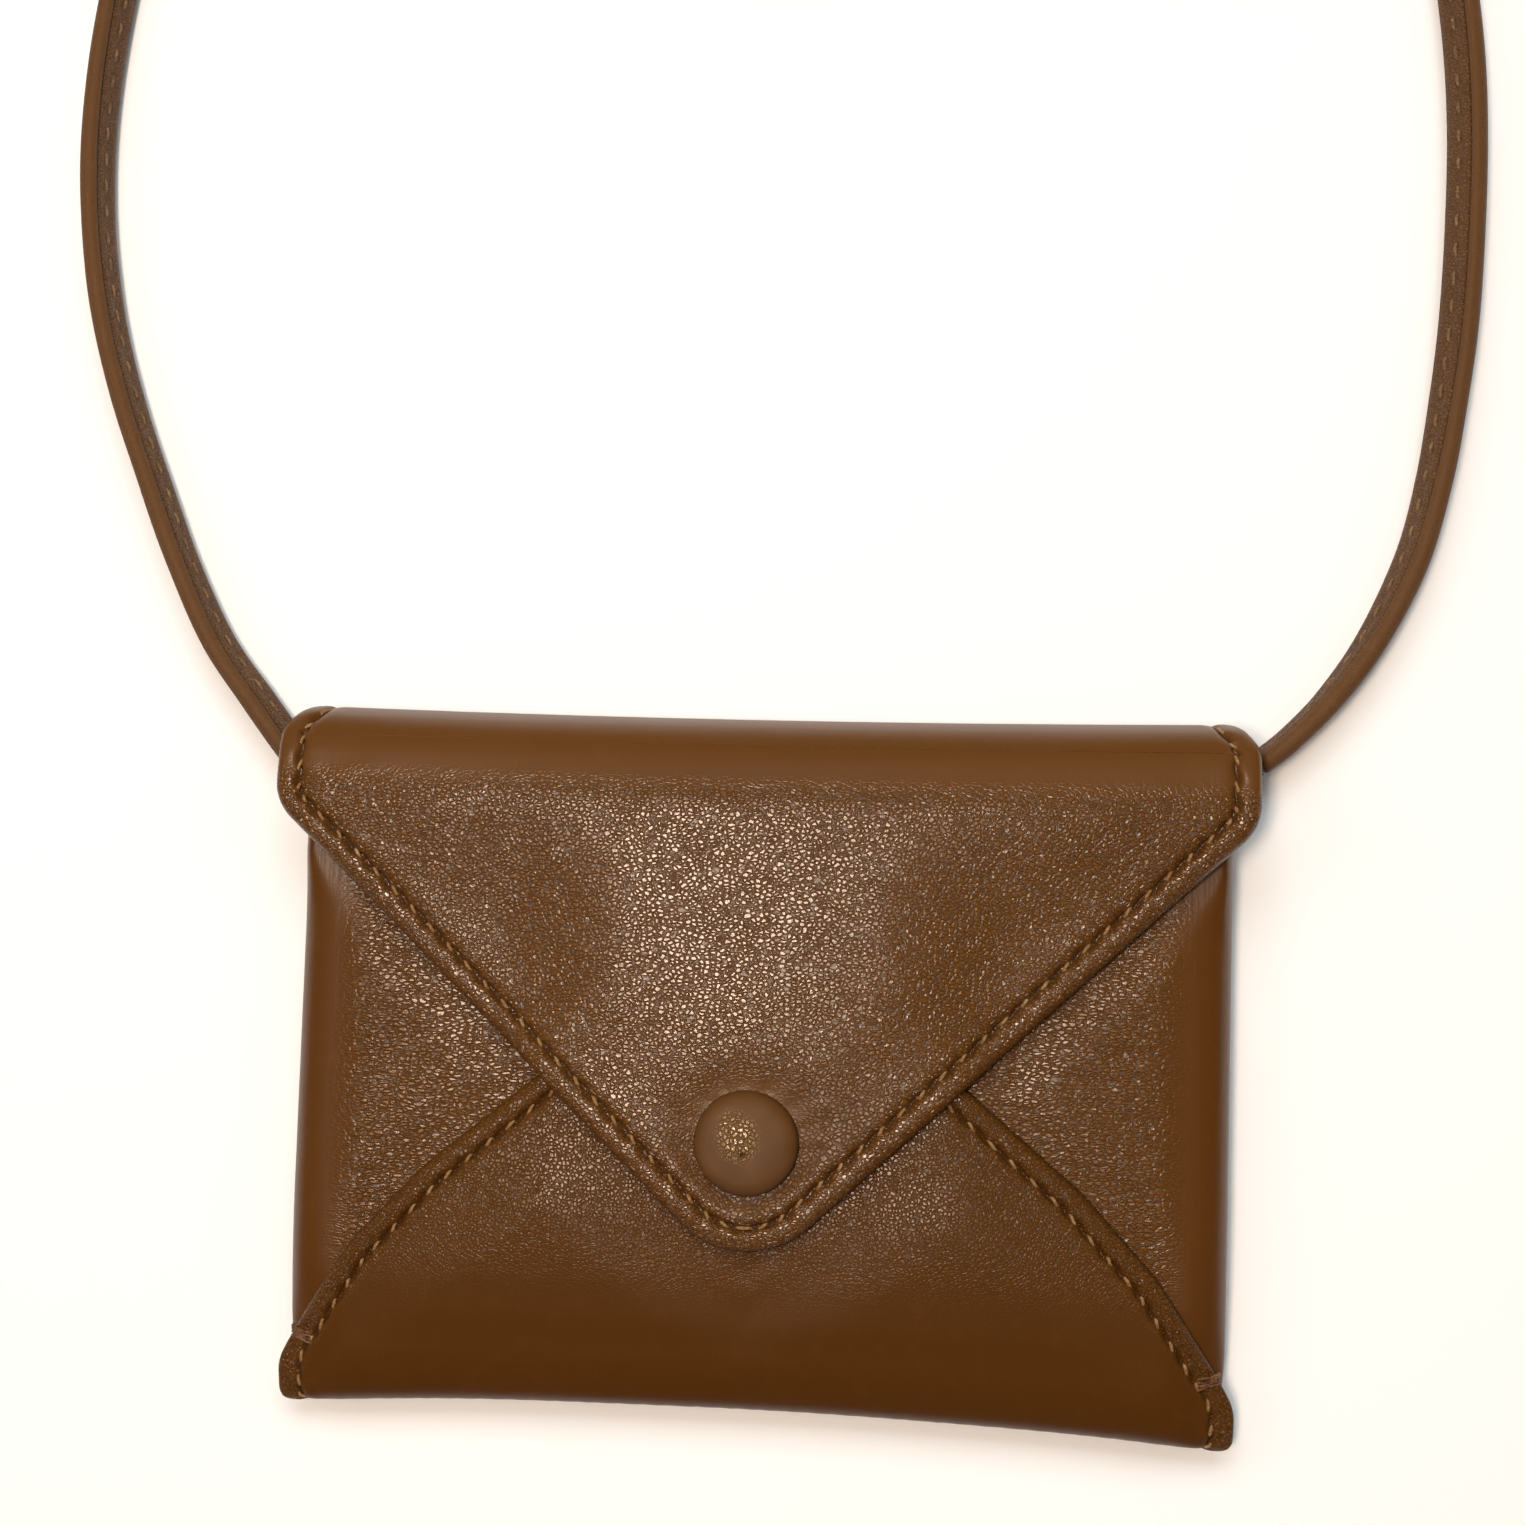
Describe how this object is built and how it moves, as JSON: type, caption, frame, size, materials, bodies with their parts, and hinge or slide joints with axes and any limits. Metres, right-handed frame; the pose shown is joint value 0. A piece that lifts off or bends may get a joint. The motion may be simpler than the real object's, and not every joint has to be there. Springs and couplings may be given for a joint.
{
  "type": "neck pouch wallet",
  "caption": "Small envelope-shaped leather neck pouch with a pointed snap flap, seamed front pocket and a flat folded neck strap, lying on its back.",
  "frame": {"origin": "middle of the pouch's back face, on the surface it lies on, without the strap", "axes": "+X along the pouch's width, towards its right as seen from the front; +Y up the pouch, towards the mouth and the fold; +Z out of the front, towards the snap cap"},
  "size_m": [0.1722, 0.2497, 0.0136],
  "materials": {
    "leather": "tan grained calf leather, soft satin sheen",
    "strap_leather": "the same tan leather folded into a strap, slightly redder along its folded edge",
    "lining": "thin tan lining, matt",
    "thread": "waxed tan thread",
    "painted_cap": "snap cap painted to match the leather, worn at its middle",
    "snap_brass": "plain stamped brass"
  },
  "bodies": {
    "pouch": {"back_panel": "leather", "back_lining": "lining", "front_lining": "lining", "wing_left": "leather", "wing_right": "leather", "front_pocket": "leather", "pocket_thread_left": "thread", "pocket_thread_right": "thread", "corner_tack_left": "thread", "corner_tack_right": "thread", "snap_stud": "snap_brass", "snap_post": "snap_brass", "snap_backing": "leather", "strap_left_end": "strap_leather", "strap_right_end": "strap_leather", "strap_left_run": "strap_leather", "strap_right_run": "strap_leather", "strap_coil": "strap_leather", "strap_tie": "strap_leather"},
    "fold": {"fold_panel": "leather", "fold_lining": "lining"},
    "flap": {"flap_panel": "leather", "flap_lining": "lining", "flap_thread": "thread", "snap_cap": "painted_cap", "snap_socket": "snap_brass"}
  },
  "joints": [
    {"name": "fold_hinge", "type": "hinge", "parent": "pouch", "child": "fold", "pos_m": [0, 0.041, 0], "axis": [-1, 0, 0], "range_deg": [0, 90]},
    {"name": "flap_hinge", "type": "hinge", "parent": "fold", "child": "flap", "pos_m": [0, 0.041, 0.011], "axis": [-1, 0, 0], "range_deg": [0, 90]}
  ],
  "couplings": [
    {"joint": "fold_hinge", "follows": "flap_hinge", "ratio": 1}
  ]
}
